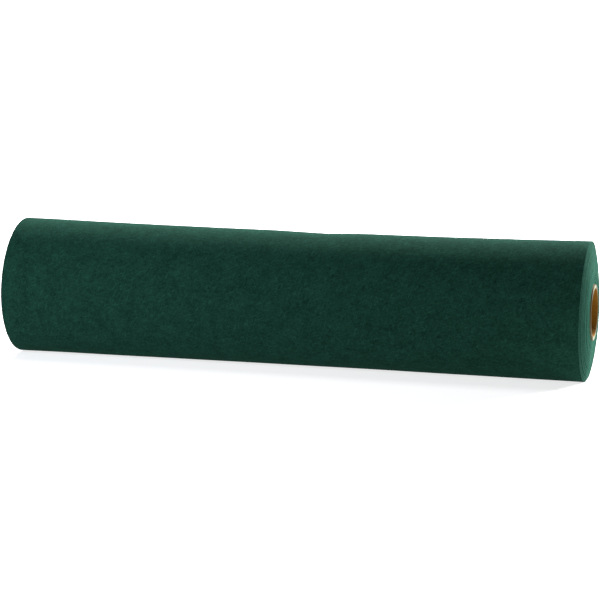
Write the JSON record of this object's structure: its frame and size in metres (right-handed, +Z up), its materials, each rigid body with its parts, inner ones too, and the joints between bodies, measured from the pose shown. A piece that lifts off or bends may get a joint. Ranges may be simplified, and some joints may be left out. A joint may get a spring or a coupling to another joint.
{
  "type": "roll of felt",
  "caption": "Craft felt wound tightly on a cardboard tube, lying on its side, with the tube's open bore through it.",
  "frame": {"origin": "on the surface that the roll lies on, at the middle of the roll's bounding box", "axes": "+X along the roll towards the end whose inner turns are pushed out, +Z up, -Y the front of the picture"},
  "size_m": [0.4543, 0.1064, 0.1049],
  "materials": {
    "felt": "matte",
    "cardboard": "matte"
  },
  "bodies": {
    "root": {"felt_roll": "felt", "core_tube": "cardboard"}
  },
  "joints": []
}
